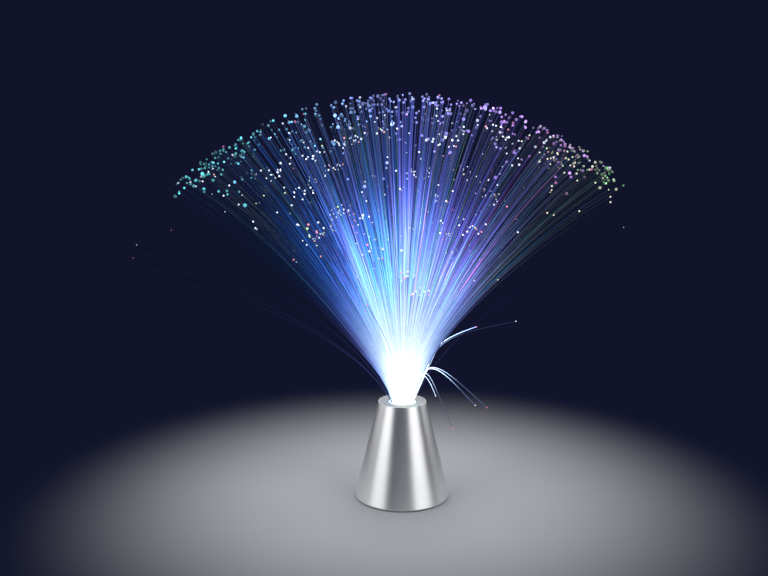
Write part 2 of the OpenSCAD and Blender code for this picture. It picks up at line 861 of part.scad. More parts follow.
// From the left cell's button contact, round the front of the column, to the switch
module wire_positive() {
    color("firebrick") lead([
        [-tab_x, -tab_y, tab_top],
        [-tab_x, -tab_y, tab_top + straight],
        round_axis(wire_r, -108, z_window + 1),
        round_axis(wire_r, -88, z_window + 2),
        round_axis(wire_r, -66, z_window + 2),
        round_axis(wire_r, -44, z_window + 1),
        round_axis(wire_r + 1, -28, z_window - 2),
        [switch_x - 2, -pin_pitch - 4, z_window - 6],
        [switch_x - 0.4, -pin_pitch - 1, z_pin + 3 * straight],
        [switch_x, -pin_pitch, z_pin + straight],
        [switch_x, -pin_pitch, z_pin]
    ]);
}

// From the switch through the column's window on the +X side, and up to the board
module wire_switched() {
    color("darkorange") lead([
        [switch_x, 0, z_pin],
        [switch_x, 0, z_pin + straight],
        [switch_x - 1, 0, z_pin + 3 * straight],
        [switch_x - 4, 0, z_window - 5],
        [(switch_x + column_d / 2) / 2 - 2, 0, z_window + 1.5],
        [column_d / 2 + 0.5, 0, z_window + 4],
        [part_r + 1, 0, z_window + 6],
        [part_r - 2, 0, z_window + 10],
        [part_r - 2, 0, z_halfway],
        [part_r, 0, z_board - 3 * straight],
        [part_r, 0, z_board - straight],
        [part_r, 0, z_board]
    ]);
}

// From the right cell's spring contact through the window on the +Y side, and up to the board
module wire_negative() {
    board_angle = 120;
    color("black") lead([
        [tab_x, tab_y, tab_top],
        [tab_x, tab_y, tab_top + straight],
        round_axis(wire_r, 68, z_window + 2.5),
        round_axis(wire_r - 4, 76, z_window + 4),
        [window_w / 4, column_d / 2 + 1, z_window + 5],
        [window_w / 6, column_d / 2 - column_wall, z_window + 5.5],
        round_axis(part_r, 95, z_window + 8),
        round_axis(part_r - 2, 110, z_halfway),
        round_axis(part_r, board_angle, z_board - 3 * straight),
        round_axis(part_r, board_angle, z_board - straight),
        round_axis(part_r, board_angle, z_board)
    ]);
}

// ---------------------------------------------------------------- parts by name

cone_shell();
collar_bush();
lock_ring();
ferrule();
fibre_spray();
light_cup();
led_board();
led_red();
led_green();
led_blue();
resistors();
controller_chip();
cup_screws();
chassis_column();
column_screws();
base_plate();
battery_left();
battery_centre();
battery_right();
contact_positive();
contact_link_front();
contact_link_back();
contact_negative();
battery_door();
door_screws();
switch_body();
switch_slider();
switch_screws();
foot_1();
foot_2();
foot_3();
foot_4();
wire_positive();
wire_switched();
wire_negative();
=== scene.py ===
# A battery fibre optic lamp: a satin aluminium cone with a turned collar, and a spray of lit plastic
# fibres that stands in it. The sections follow the lamp as it is put together, from the base up.
import math
import random

import bmesh
import bpy
import numpy as np
from mathutils import Matrix, Vector


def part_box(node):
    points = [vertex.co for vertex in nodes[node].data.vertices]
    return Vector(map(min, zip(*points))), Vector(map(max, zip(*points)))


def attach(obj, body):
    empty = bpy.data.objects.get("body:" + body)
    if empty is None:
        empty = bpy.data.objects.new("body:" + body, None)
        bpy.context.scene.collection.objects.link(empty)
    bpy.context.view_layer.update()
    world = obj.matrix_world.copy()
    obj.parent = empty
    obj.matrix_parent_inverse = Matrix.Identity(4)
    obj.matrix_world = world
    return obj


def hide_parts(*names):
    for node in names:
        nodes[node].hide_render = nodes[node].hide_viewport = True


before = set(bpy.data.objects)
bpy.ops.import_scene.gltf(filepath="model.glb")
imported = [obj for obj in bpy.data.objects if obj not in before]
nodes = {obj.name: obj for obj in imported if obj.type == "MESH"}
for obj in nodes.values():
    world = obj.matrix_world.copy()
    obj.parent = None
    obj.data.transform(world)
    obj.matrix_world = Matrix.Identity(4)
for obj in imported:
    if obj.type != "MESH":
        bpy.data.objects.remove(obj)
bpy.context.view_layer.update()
MM = 0.001

# ---------------------------------------------------------------- base plate and battery door
# Two mouldings in near-black ABS. Their outer faces are spark-eroded, so the light breaks up into a
# fine matt grain, and the edges are rounded where the moulds part.


def linear(code):
    """An sRGB hex colour as the linear values that a shader takes."""
    parts = [int(code[i : i + 2], 16) / 255 for i in (1, 3, 5)]
    return [c / 12.92 if c <= 0.04045 else ((c + 0.055) / 1.055) ** 2.4 for c in parts] + [1.0]


def add(tree, kind, inputs=None, **settings):
    """Adds one node: its settings, then its inputs, each a value or the output that feeds it."""
    node = tree.nodes.new(kind)
    for name, value in settings.items():
        setattr(node, name, value)
    for key, value in (inputs or {}).items():
        if isinstance(value, bpy.types.NodeSocket):
            tree.links.new(value, node.inputs[key])
        else:
            node.inputs[key].default_value = value
    return node


def new_finish(name, **surface):
    """A finish with one Principled shader. The keywords are its inputs, with _ for a space."""
    material = bpy.data.materials.new(name)
    material.use_nodes = True
    tree = material.node_tree
    shader = tree.nodes["Principled BSDF"]
    for key, value in surface.items():
        shader.inputs[key.replace("_", " ")].default_value = value
    place = add(tree, "ShaderNodeTexCoord").outputs["Object"]
    return material, tree, shader, place


def wear(material, *names):
    """Gives CAD nodes a finish and keeps their own meshes."""
    for name in names:
        for holder in nodes[name].material_slots:
            holder.material = material


def softened(node_name, body, material, width):
    """A copy of a CAD node with its sharp edges rounded over width mm, which stands in for it."""
    flat_within, sharp_from, crease_from = math.radians(1), math.radians(40), math.radians(35)
    mesh = nodes[node_name].data.copy()
    piece = bpy.data.objects.new(node_name + "_rounded", mesh)
    bpy.context.scene.collection.objects.link(piece)
    mesh.materials.clear()
    mesh.materials.append(material)
    work = bmesh.new()
    work.from_mesh(mesh)
    bmesh.ops.remove_doubles(work, verts=work.verts, dist=0.002 * MM)
    bmesh.ops.dissolve_limit(work, angle_limit=flat_within, verts=work.verts, edges=work.edges)
    sharp = [e for e in work.edges if len(e.link_faces) == 2 and e.calc_face_angle(0) > sharp_from]
    bmesh.ops.bevel(work, geom=sharp, offset=width * MM, segments=2, profile=0.7, affect="EDGES",
                    clamp_overlap=True)
    bmesh.ops.triangulate(work, faces=[f for f in work.faces if len(f.verts) > 4])
    work.to_mesh(mesh)
    work.free()
    for face in mesh.polygons:
        face.use_smooth = True
        face.material_index = 0
    mesh.set_sharp_from_angle(angle=crease_from)
    # Flat faces stay evenly lit up to their rounded edges
    even = piece.modifiers.new("even", "WEIGHTED_NORMAL")
    even.keep_sharp, even.weight = True, 100
    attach(piece, body)
    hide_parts(node_name)
    return piece


spark_eroded_abs, tree, shader, place = new_finish("spark_eroded_abs", Roughness=0.55, IOR=1.54)
# Grain of 0.3 mm, over the slow unevenness of 14 mm that a moulded wall keeps
grain = add(tree, "ShaderNodeTexNoise", {"Vector": place, "Scale": 1 / (0.3 * MM), "Detail": 3.0})
sink = add(tree, "ShaderNodeTexNoise", {"Vector": place, "Scale": 1 / (14 * MM), "Detail": 1.0})
shade = add(tree, "ShaderNodeMix", {"Factor": sink.outputs["Fac"], 6: linear("#1b1c1f"),
                                    7: linear("#26282c")}, data_type="RGBA")
bump = add(tree, "ShaderNodeBump", {"Height": grain.outputs["Fac"], "Strength": 0.35,
                                    "Distance": 0.08 * MM})
tree.links.new(shade.outputs[2], shader.inputs["Base Color"])
tree.links.new(bump.outputs["Normal"], shader.inputs["Normal"])

base_edge = 0.25
softened("base_plate", "base", spark_eroded_abs, base_edge)
softened("battery_door", "door", spark_eroded_abs, base_edge)

# ---------------------------------------------------------------- screws
# Small pan-head screws in zinc-plated steel. The plating is bright but a little cloudy, and faintly
# yellow where it is thicker.

zinc_plated_steel, tree, shader, place = new_finish("zinc_plated_steel", Metallic=1.0, Roughness=0.3)
# Clouds of 1.5 mm in the plating
cloud = add(tree, "ShaderNodeTexNoise", {"Vector": place, "Scale": 1 / (1.5 * MM), "Detail": 4.0})
tint = add(tree, "ShaderNodeMix", {"Factor": cloud.outputs["Fac"], 6: linear("#b9bcc0"),
                                   7: linear("#cdc9b8")}, data_type="RGBA")
rough = add(tree, "ShaderNodeMapRange", {"Value": cloud.outputs["Fac"], "To Min": 0.22, "To Max": 0.42})
tree.links.new(tint.outputs[2], shader.inputs["Base Color"])
tree.links.new(rough.outputs[0], shader.inputs["Roughness"])
wear(zinc_plated_steel, "door_screws", "column_screws", "cup_screws", "switch_screws")

# ---------------------------------------------------------------- rubber feet
# Four moulded pads of black rubber, stuck under the base. The lower face has a shallow groove inside
# its round rim, and rubber scatters light softly with hardly any gloss.


def lathe(name, outline, steps, material):
    """A closed piece turned about Z from an outline of (radius, height) in mm."""
    points = [(r * math.cos(a) * MM, r * math.sin(a) * MM, z * MM)
              for r, z in outline for a in (2 * math.pi * k / steps for k in range(steps))]
    count = len(outline)
    faces = [(i * steps + k, i * steps + (k + 1) % steps,
              (i + 1) % count * steps + (k + 1) % steps, (i + 1) % count * steps + k)
             for i in range(count) for k in range(steps)]
    mesh = bpy.data.meshes.new(name)
    mesh.from_pydata(points, [], faces)
    mesh.materials.append(material)
    work = bmesh.new()
    work.from_mesh(mesh)
    bmesh.ops.remove_doubles(work, verts=work.verts, dist=0.001 * MM)
    bmesh.ops.recalc_face_normals(work, faces=work.faces)
    work.to_mesh(mesh)
    work.free()
    for face in mesh.polygons:
        face.use_smooth = True
    mesh.set_sharp_from_angle(angle=math.radians(50))
    piece = bpy.data.objects.new(name, mesh)
    bpy.context.scene.collection.objects.link(piece)
    return piece


def arc(centre_r, centre_z, radius, start, end, steps):
    """The points of a rounded corner in an outline."""
    angles = [math.radians(start + (end - start) * k / steps) for k in range(steps + 1)]
    return [(centre_r + radius * math.cos(a), centre_z + radius * math.sin(a)) for a in angles]


moulded_rubber, tree, shader, place = new_finish("moulded_rubber", Roughness=0.8, IOR=1.52)
# Dust lies on it in patches of 0.8 mm
dust = add(tree, "ShaderNodeTexNoise", {"Vector": place, "Scale": 1 / (0.8 * MM), "Detail": 5.0})
shade = add(tree, "ShaderNodeMix", {"Factor": dust.outputs["Fac"], 6: linear("#17181a"),
                                    7: linear("#2e2f31")}, data_type="RGBA")
bump = add(tree, "ShaderNodeBump", {"Height": dust.outputs["Fac"], "Strength": 0.3,
                                    "Distance": 0.05 * MM})
tree.links.new(shade.outputs[2], shader.inputs["Base Color"])
tree.links.new(bump.outputs["Normal"], shader.inputs["Normal"])

pad_edge = 0.3
groove_inset, groove_width, groove_depth, groove_slope = 0.9, 1.4, 0.15, 0.2
for index in (1, 2, 3, 4):
    low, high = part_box(f"foot_{index}")
    pad_r = (high.x - low.x) / 2 / MM
    pad_top = high.z / MM
    groove_out = pad_r - groove_inset
    groove_in = groove_out - groove_width
    outline = ([(0, pad_top), (pad_r, pad_top)] + arc(pad_r - pad_edge, pad_edge, pad_edge, 0, -90, 4)
               + [(groove_out, 0), (groove_out - groove_slope, groove_depth),
                  (groove_in + groove_slope, groove_depth), (groove_in, 0), (0, 0)])
    pad = lathe(f"foot_{index}_pad", outline, 48, moulded_rubber)
    pad.data.transform(Matrix.Translation(((low.x + high.x) / 2, (low.y + high.y) / 2, 0)))
    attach(pad, "base")
    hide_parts(f"foot_{index}")

# ---------------------------------------------------------------- switch
# A small slide switch: a case of black glass-filled PBT with a dull, slightly streaked skin, and a
# knob in glossy black ABS that a thumb has polished.

glass_filled_pbt, tree, shader, place = new_finish("glass_filled_pbt", Roughness=0.5, IOR=1.57)
# Streaks 0.4 mm wide and 3 mm long, as the glass fibres lie
stretch = add(tree, "ShaderNodeMapping", {
    "Vector": place, "Scale": (1 / (0.4 * MM), 1 / (3 * MM), 1 / (0.4 * MM))})
streak = add(tree, "ShaderNodeTexNoise", {"Vector": stretch.outputs[0], "Scale": 1.0, "Detail": 2.0})
shade = add(tree, "ShaderNodeMix", {"Factor": streak.outputs["Fac"], 6: linear("#141416"),
                                    7: linear("#2c2c2f")}, data_type="RGBA")
tree.links.new(shade.outputs[2], shader.inputs["Base Color"])
wear(glass_filled_pbt, "switch_body")

polished_abs, tree, shader, place = new_finish("polished_abs", Roughness=0.22, IOR=1.54)
# The flow of the plastic leaves very slow waves, 2 mm apart
wave = add(tree, "ShaderNodeTexNoise", {"Vector": place, "Scale": 1 / (2 * MM), "Detail": 2.0})
shade = add(tree, "ShaderNodeMix", {"Factor": wave.outputs["Fac"], 6: linear("#0f0f11"),
                                    7: linear("#1c1c1f")}, data_type="RGBA")
rough = add(tree, "ShaderNodeMapRange", {"Value": wave.outputs["Fac"], "To Min": 0.16, "To Max": 0.34})
tree.links.new(shade.outputs[2], shader.inputs["Base Color"])
tree.links.new(rough.outputs[0], shader.inputs["Roughness"])
knob_edge = 0.15
softened("switch_slider", "switch", polished_abs, knob_edge)

# ---------------------------------------------------------------- battery contacts
# Strips and springs of nickel-plated spring steel. The rolled strip keeps fine lines along its
# length, and the nickel is a warm, fairly bright grey.

nickel_plated_steel, tree, shader, place = new_finish(
    "nickel_plated_steel", Metallic=1.0, Roughness=0.28)
# Rolling lines 4 mm long and 0.15 to 0.3 mm apart
stretch = add(tree, "ShaderNodeMapping", {
    "Vector": place, "Scale": (1 / (4 * MM), 1 / (0.3 * MM), 1 / (0.15 * MM))})
rolled = add(tree, "ShaderNodeTexNoise", {"Vector": stretch.outputs[0], "Scale": 1.0, "Detail": 3.0})
tint = add(tree, "ShaderNodeMix", {"Factor": rolled.outputs["Fac"], 6: linear("#a8a49c"),
                                   7: linear("#c9c5bd")}, data_type="RGBA")
tree.links.new(tint.outputs[2], shader.inputs["Base Color"])
wear(nickel_plated_steel, "contact_positive", "contact_link_front", "contact_link_back",
     "contact_negative")

# ---------------------------------------------------------------- cells
# Three AA cells in series. Each is a steel can in a shrunk plastic sleeve, plain graphite with a
# copper band, and the bare can shows at both ends.

shrunk_sleeve, tree, shader, place = new_finish("shrunk_sleeve", IOR=1.5)
# Distances from a cell's middle, along it
band_from, bare_from = 15.5 * MM, 23.7 * MM
axis = add(tree, "ShaderNodeSeparateXYZ", {"Vector": place})
along = add(tree, "ShaderNodeMath", {0: axis.outputs["Y"]}, operation="ABSOLUTE")
bare = add(tree, "ShaderNodeMath", {0: along.outputs[0], 1: bare_from}, operation="GREATER_THAN")
band = add(tree, "ShaderNodeMath", {0: along.outputs[0], 1: band_from}, operation="GREATER_THAN")
film = add(tree, "ShaderNodeTexNoise", {"Vector": place, "Scale": 1 / (5 * MM), "Detail": 3.0})
printed = add(tree, "ShaderNodeMix", {"Factor": band.outputs[0], 6: linear("#2b2d33"),
                                      7: linear("#a8683c")}, data_type="RGBA")
shade = add(tree, "ShaderNodeMix", {"Factor": bare.outputs[0], 6: printed.outputs[2],
                                    7: linear("#b4b6b8")}, data_type="RGBA")
rough = add(tree, "ShaderNodeMapRange", {"Value": film.outputs["Fac"], "To Min": 0.2, "To Max": 0.4})
tree.links.new(shade.outputs[2], shader.inputs["Base Color"])
tree.links.new(bare.outputs[0], shader.inputs["Metallic"])
tree.links.new(rough.outputs[0], shader.inputs["Roughness"])
wear(shrunk_sleeve, "battery_left", "battery_centre", "battery_right")

# ---------------------------------------------------------------- column and light cup
# Two mouldings in white polypropylene, one to carry the board and one to keep the light in. The
# plastic is waxy: it lets a little light in and its skin has a soft sheen.

white_polypropylene, tree, shader, place = new_finish("white_polypropylene", Roughness=0.42, IOR=1.49)
# Slow unevenness of 10 mm from cooling, and a skin of 0.6 mm
sink = add(tree, "ShaderNodeTexNoise", {"Vector": place, "Scale": 1 / (10 * MM), "Detail": 2.0})
shade = add(tree, "ShaderNodeMix", {"Factor": sink.outputs["Fac"], 6: linear("#d8d9d6"),
                                    7: linear("#e6e6e2")}, data_type="RGBA")
skin = add(tree, "ShaderNodeTexNoise", {"Vector": place, "Scale": 1 / (0.6 * MM), "Detail": 2.0})
bump = add(tree, "ShaderNodeBump", {"Height": skin.outputs["Fac"], "Strength": 0.15,
                                    "Distance": 0.05 * MM})
tree.links.new(shade.outputs[2], shader.inputs["Base Color"])
tree.links.new(bump.outputs["Normal"], shader.inputs["Normal"])
moulded_edge = 0.2
softened("chassis_column", "base", white_polypropylene, moulded_edge)
softened("light_cup", "base", white_polypropylene, moulded_edge)

# ---------------------------------------------------------------- board and its parts
# A round board of glass-epoxy with green solder mask over the copper, which shows as slightly raised
# paler tracks. Under it sit three chip resistors and the colour-change chip in black resin.

green_solder_mask, tree, shader, place = new_finish("green_solder_mask", Roughness=0.3, IOR=1.55)
# Tracks about 1 mm wide: the borders between cells that are 5 mm across
copper = add(tree, "ShaderNodeTexVoronoi", {"Vector": place, "Scale": 1 / (5 * MM)},
             feature="DISTANCE_TO_EDGE")
track = add(tree, "ShaderNodeMapRange", {"Value": copper.outputs["Distance"], "From Min": 0.08,
                                         "From Max": 0.12, "To Min": 1.0, "To Max": 0.0})
shade = add(tree, "ShaderNodeMix", {"Factor": track.outputs[0], 6: linear("#134a2c"),
                                    7: linear("#1f6b3f")}, data_type="RGBA")
bump = add(tree, "ShaderNodeBump", {"Height": track.outputs[0], "Strength": 0.5, "Distance": 0.05 * MM})
tree.links.new(shade.outputs[2], shader.inputs["Base Color"])
tree.links.new(bump.outputs["Normal"], shader.inputs["Normal"])
wear(green_solder_mask, "led_board")

black_moulding_resin, tree, shader, place = new_finish("black_moulding_resin", Roughness=0.6, IOR=1.55)
# Grains of filler, 0.12 mm across
filler = add(tree, "ShaderNodeTexNoise", {"Vector": place, "Scale": 1 / (0.12 * MM), "Detail": 3.0})
shade = add(tree, "ShaderNodeMix", {"Factor": filler.outputs["Fac"], 6: linear("#1a1a1b"),
                                    7: linear("#303031")}, data_type="RGBA")
tree.links.new(shade.outputs[2], shader.inputs["Base Color"])
wear(black_moulding_resin, "resistors", "controller_chip")

# ---------------------------------------------------------------- LEDs
# Three 5 mm LEDs with tinted epoxy lenses, red, green and blue, all lit. The tint is deepest in the
# thick middle of a lens, and the skin is as smooth as the mould.

for colour, tint_code, light_code in (("red", "#8e1418", "#ff4a3c"), ("green", "#157a2c", "#5cff78"),
                                      ("blue", "#1a2f9c", "#5a86ff")):
    tinted_epoxy, tree, shader, place = new_finish(f"{colour}_tinted_epoxy", Roughness=0.08, IOR=1.53,
                                                   Emission_Strength=0.8)
    facing = add(tree, "ShaderNodeLayerWeight", {"Blend": 0.4})
    depth = add(tree, "ShaderNodeMix", {"Factor": facing.outputs["Facing"], 6: linear(light_code),
                                        7: linear(tint_code)}, data_type="RGBA")
    shader.inputs["Base Color"].default_value = linear(tint_code)
    tree.links.new(depth.outputs[2], shader.inputs["Emission Color"])
    wear(tinted_epoxy, f"led_{colour}")

# ---------------------------------------------------------------- leads
# Three leads of stranded copper in soft PVC, red, orange and black. Drawn PVC is smooth, with a dull
# waxy gloss.

for name, code, pale in (("wire_positive", "#b01a1e", "#c8383a"),
                         ("wire_switched", "#d8701a", "#e68a3c"),
                         ("wire_negative", "#121214", "#2a2a2d")):
    soft_pvc, tree, shader, place = new_finish(name + "_pvc", Roughness=0.38, IOR=1.53)
    wax = add(tree, "ShaderNodeTexNoise", {"Vector": place, "Scale": 1 / (2.5 * MM), "Detail": 3.0})
    shade = add(tree, "ShaderNodeMix", {"Factor": wax.outputs["Fac"], 6: linear(code),
                                        7: linear(pale)}, data_type="RGBA")
    tree.links.new(shade.outputs[2], shader.inputs["Base Color"])
    wear(soft_pvc, name)

# ---------------------------------------------------------------- cone shell
# A cone spun from 1.2 mm aluminium sheet, satin-finished with fine abrasive while it turned, and
# clear anodised. The turning lines run round it, so that a light spreads along the height of the
# cone, and its foot edge is rounded a little and catches the light.

satin_spun_aluminium, tree, shader, place = new_finish(
    "satin_spun_aluminium", Metallic=1.0, Roughness=0.36, Anisotropic=0.3, Anisotropic_Rotation=0.25)
# Turning lines 0.25 mm apart, drawn coarser than the real ones of 0.05 mm so that they show at all
stretch = add(tree, "ShaderNodeMapping", {
    "Vector": place, "Scale": (1 / (60 * MM), 1 / (60 * MM), 1 / (0.25 * MM))})
lines = add(tree, "ShaderNodeTexNoise", {"Vector": stretch.outputs[0], "Scale": 1.0, "Detail": 3.0})
cloud = add(tree, "ShaderNodeTexNoise", {"Vector": place, "Scale": 1 / (20 * MM), "Detail": 2.0})
tint = add(tree, "ShaderNodeMix", {"Factor": lines.outputs["Fac"], 6: linear("#e4e5e6"),
                                   7: linear("#f2f3f3")}, data_type="RGBA")
rough = add(tree, "ShaderNodeMapRange", {"Value": cloud.outputs["Fac"], "To Min": 0.33, "To Max": 0.39})
bump = add(tree, "ShaderNodeBump", {"Height": lines.outputs["Fac"], "Strength": 0.06,
                                    "Distance": 0.02 * MM})
turned = add(tree, "ShaderNodeTangent", direction_type="RADIAL", axis="Z")
tree.links.new(tint.outputs[2], shader.inputs["Base Color"])
tree.links.new(rough.outputs[0], shader.inputs["Roughness"])
tree.links.new(bump.outputs["Normal"], shader.inputs["Normal"])
tree.links.new(turned.outputs[0], shader.inputs["Tangent"])

foot_low, foot_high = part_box("cone_shell")
foot_r = foot_high.x / MM
z_foot, z_shell = foot_low.z / MM, foot_high.z / MM
top_r, opening_r, wall = 20.2, 14.6, 1.2
foot_inset, foot_round, top_edge, inner_corner = 0.45, 0.3, 0.06, 0.6
slope = (foot_r - top_r) / (z_shell - z_foot)
run = wall * math.sqrt(1 + slope * slope)


def shell_out(z):
    """The cone's outer radius at a height."""
    return foot_r - (z - z_foot) * slope


# Rings of points up the side keep its shading straight, and those next to an edge keep the edge crisp
side_rings = (z_foot + 1, 20, 40, 60, 76, z_shell - 0.4, z_shell - top_edge)
z_lip_under, z_corner, z_middle = z_shell - wall, z_shell - 2, 40
cone = lathe("cone_shell_spun", [
    (foot_r - foot_inset, z_foot), *arc(foot_r - foot_inset, z_foot + foot_round, foot_round, -70, 0, 4),
    (shell_out(z_foot + foot_inset), z_foot + foot_inset), *[(shell_out(z), z) for z in side_rings],
    (top_r - top_edge, z_shell), (opening_r, z_shell), (opening_r, z_lip_under),
    (shell_out(z_lip_under) - run - inner_corner, z_lip_under), (shell_out(z_corner) - run, z_corner),
    (shell_out(z_middle) - run, z_middle), (foot_r - run, z_foot)], 256, satin_spun_aluminium)
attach(cone, "base")
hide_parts("cone_shell")

# ---------------------------------------------------------------- collar and lock ring
# A bush turned from aluminium bar, with a flat bead-blasted ring on top and a stem below that guides
# the ferrule. A ring nut clamps the shell's lip against it from inside. Blasting dulls and pits the
# ring, and its even, dull grey is painted shade, darker than the aluminium of the cone; its rounded
# edge keeps the paler aluminium and shows a fine bright line.

blasted_aluminium_painted_shade, tree, shader, place = new_finish("blasted_aluminium_painted_shade", Metallic=1.0, Roughness=0.6)
# Blasting pits of 0.2 mm
pits = add(tree, "ShaderNodeTexNoise", {"Vector": place, "Scale": 1 / (0.2 * MM), "Detail": 2.0})
# Its grey is painted shade, much darker than the cone's aluminium; the pits only vary it a little
tint = add(tree, "ShaderNodeMix", {"Factor": pits.outputs["Fac"], 6: linear("#a2a3a5"),
                                   7: linear("#afb0b1")}, data_type="RGBA")
bump = add(tree, "ShaderNodeBump", {"Height": pits.outputs["Fac"], "Strength": 0.2,
                                    "Distance": 0.03 * MM})
tree.links.new(tint.outputs[2], shader.inputs["Base Color"])
tree.links.new(bump.outputs["Normal"], shader.inputs["Normal"])

low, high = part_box("collar_bush")
z_stem, z_top = low.z / MM, high.z / MM
stem_bore_r, stem_r, recess_r = 11.05, 14.5, 12.0
stem_chamfer, seam, ring_round, recess_round, bore_chamfer = 0.3, 0.04, 0.15, 0.4, 0.1
ring_r = shell_out(z_top)
ring_side = (z_shell + seam, z_shell + 0.4, z_top - 0.5, z_top - ring_round)
collar = lathe("collar_bush_turned", [
    (stem_bore_r, z_stem + stem_chamfer), (stem_bore_r + stem_chamfer, z_stem),
    (stem_r - stem_chamfer, z_stem), (stem_r, z_stem + stem_chamfer),
    (stem_r, z_shell), (top_r - seam, z_shell), *[(shell_out(z), z) for z in ring_side],
    *arc(ring_r - ring_round, z_top - ring_round, ring_round, 10, 80, 4), (ring_r - 0.2, z_top),
    (recess_r + recess_round, z_top), (recess_r + 0.3 * recess_round, z_top - 0.25 * recess_round),
    (recess_r, z_top - recess_round), (recess_r, z_shell), (stem_bore_r + bore_chamfer, z_shell),
    (stem_bore_r, z_shell - bore_chamfer)], 192, blasted_aluminium_painted_shade)
# Its side is turned in one cut with the cone, and has the cone's satin finish
collar.data.materials.append(satin_spun_aluminium)
side_from = (ring_r - 2 * ring_round) * MM
for face in collar.data.polygons:
    face.material_index = int(math.hypot(face.center.x, face.center.y) > side_from)
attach(collar, "base")
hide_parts("collar_bush")
nut_edge = 0.15
softened("lock_ring", "base", blasted_aluminium_painted_shade, nut_edge)

# ---------------------------------------------------------------- ferrule
# A clear acrylic sleeve with a rounded lip, moulded and polished, which drops into the collar. It
# carries some of the light of the bundle inside it, so its edges glow.

lit_acrylic, tree, shader, place = new_finish("lit_acrylic", Roughness=0.12, IOR=1.49,
                                              Transmission_Weight=0.4, Emission_Strength=0.3)
haze = add(tree, "ShaderNodeTexNoise", {"Vector": place, "Scale": 1 / (2 * MM), "Detail": 2.0})
shade = add(tree, "ShaderNodeMix", {"Factor": haze.outputs["Fac"], 6: linear("#e8f0f4"),
                                    7: linear("#f8fbfc")}, data_type="RGBA")
tree.links.new(shade.outputs[2], shader.inputs["Base Color"])
tree.links.new(shade.outputs[2], shader.inputs["Emission Color"])

low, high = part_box("ferrule")
z_sleeve, z_lip = low.z / MM, high.z / MM
sleeve_r, sleeve_in, lip_r = 11.0, 9.8, 11.5
sleeve_foot, small_edge, lip_round, mouth_round = 0.4, 0.1, 0.5, 0.4
ferrule = lathe("ferrule_moulded", [
    (sleeve_in, z_sleeve), (sleeve_r - sleeve_foot, z_sleeve),
    (sleeve_r - small_edge, z_sleeve + small_edge), (sleeve_r, z_sleeve + sleeve_foot),
    (sleeve_r, z_shell), (lip_r - small_edge, z_shell), (lip_r, z_shell + small_edge),
    *arc(lip_r - lip_round, z_lip - lip_round, lip_round, 0, 90, 4),
    *arc(sleeve_in + mouth_round, z_lip - mouth_round, mouth_round, 90, 180, 4)],
    128, lit_acrylic)
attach(ferrule, "fibre_wand")
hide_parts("ferrule")

# ---------------------------------------------------------------- fibres
# About 1200 fibres of clear acrylic, 0.5 mm thick, potted together at their polished lower ends. Above
# the collar they bend outwards under their own weight, the outer ones most, and lie in locks that
# were drawn together. Light leaks out of their sides, white near the collar and then ever deeper blue.

bundle_r, stray_r, fibre_r = 8.7, 9.36, 0.25
fibre_len = 251.0
z_root = z_sleeve + 3.0
# The strands of the CAD spray, and about how many of them make a lock
fibre_count, lock_size = 315, 5
# How far a fibre moves from its own direction to its lock's, from 0 to 1
lock_pull = 0.5
# Lean of the outermost fibres in degrees, and how much more it is towards +X
fan_lean, fan_skew = 47.0, 0.5
# Shares of that lean: where a fibre leaves the bundle, what its bend adds, and what sag adds by its end
lean_first, lean_bent, lean_sag = 0.38, 0.5, 0.4
# Where along fibre_len the bend comes, as a share of it, and how much later it comes towards +X
bend_at, bend_skew = 0.15, 0.06
# Lengths as shares of fibre_len: the shortest, and the least that still reaches the dome
short_share, dome_share = 0.5, 0.93
# Share of the locks that reach the dome, and of the strands with a length of their own
dome_locks, own_lengths = 0.52, 0.16
# Stretches between the points of a fibre of the fan, and of a stray, which bends more sharply
fan_steps, stray_steps = 14, 24
golden = math.pi * (3 - math.sqrt(5))
# Steps of scatter, one for each thing that it decides, so that none follows another
own_step, own_length_step, level_step, tier_step = 0.671043607, 0.549700478, 0.569840296, 0.754877666
ragged_step, depth_step = 0.819172513, 0.414213562
chance = random.Random(41)


def ease(low, high, x):
    """0 below low, 1 above high, and smooth between them."""
    t = np.clip((x - low) / (high - low), 0, 1)
    return t * t * (3 - 2 * t)


def scatter(i, step):
    """Shares that are spread evenly from 0 to 1."""
    return (i + 1) * step % 1


def disc_point(i, count, turn=0.0):
    """Points that are spread evenly over a disc of radius 1."""
    reach, azimuth = math.sqrt((i + 0.5) / count), i * golden + turn
    return np.array([reach * math.cos(azimuth), reach * math.sin(azimuth)])


lock_count = round(fibre_count / lock_size)
lock_middles = np.array([disc_point(lock, lock_count) for lock in range(lock_count)])
# Some locks are much brighter than others, and each leans to one colour
lock_light = [math.exp(chance.gauss(-0.02, 0.5)) for lock in range(lock_count)]
lock_hue = [chance.gauss(0, 1) for lock in range(lock_count)]
fibres = []


def traced(root, azimuth, lean_at, length, steps, swing=0.0):
    """Points of a fibre in mm, and their distance from the collar; lean_at(s) is in degrees."""
    # The lean is added up in many short stretches, of which only the ends of some become points
    fine = 120
    s = (np.arange(fine) + 0.5) / fine * length
    lean = np.radians(lean_at(s))
    r = np.concatenate([[0], np.cumsum(np.sin(lean))]) * length / fine
    z = np.concatenate([[0], np.cumsum(np.cos(lean))]) * length / fine
    # Closer points where the fibre bends most
    pick = np.round(fine * (np.arange(steps + 1) / steps) ** 1.5).astype(int)
    r, z, s = r[pick], z_top + z[pick], pick / fine * length
    turn = azimuth + swing * ease(20, 200, s)
    ends = ((0, r), (z_root, z), (0, s), (azimuth, turn))
    r, z, s, turn = (np.concatenate([[at_root], above]) for at_root, above in ends)
    return np.stack([root[0] + r * np.cos(turn), root[1] + r * np.sin(turn), z], 1), s


